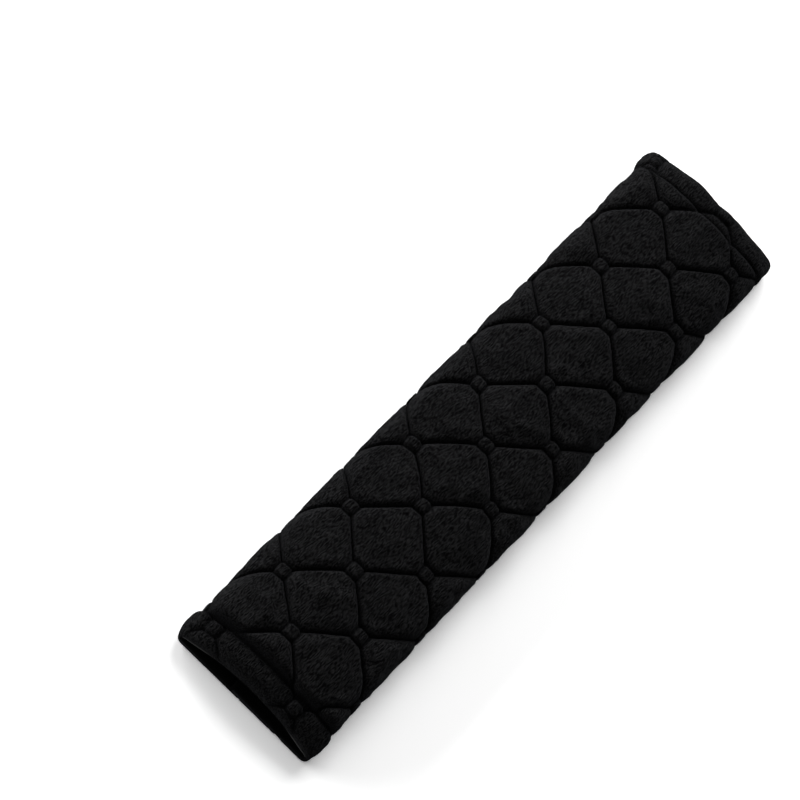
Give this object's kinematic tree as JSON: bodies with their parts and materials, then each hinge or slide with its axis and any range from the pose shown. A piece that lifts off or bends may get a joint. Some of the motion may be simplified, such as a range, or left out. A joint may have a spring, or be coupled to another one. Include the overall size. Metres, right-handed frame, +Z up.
{
  "type": "seat belt shoulder pad",
  "caption": "Padded quilted plush sleeve that closes round a car's shoulder belt with a hook and loop flap underneath.",
  "frame": {"origin": "middle of the underside, on the surface that the pad lies on", "axes": "+X along the belt, towards the end of the pad that is further from the camera; +Y across the belt; +Z up"},
  "size_m": [0.29, 0.066, 0.021],
  "materials": {
    "plush": "black short-pile plush, matt with a soft sheen",
    "foam": "dark grey open-cell foam",
    "lining": "black knitted lining, matt",
    "closing_tape": "black nylon hook and loop tape"
  },
  "bodies": {
    "root": {"quilted_cover": "plush", "foam_core": "foam", "inner_lining": "lining", "hook_tape": "closing_tape", "loop_tape": "closing_tape"}
  },
  "joints": []
}
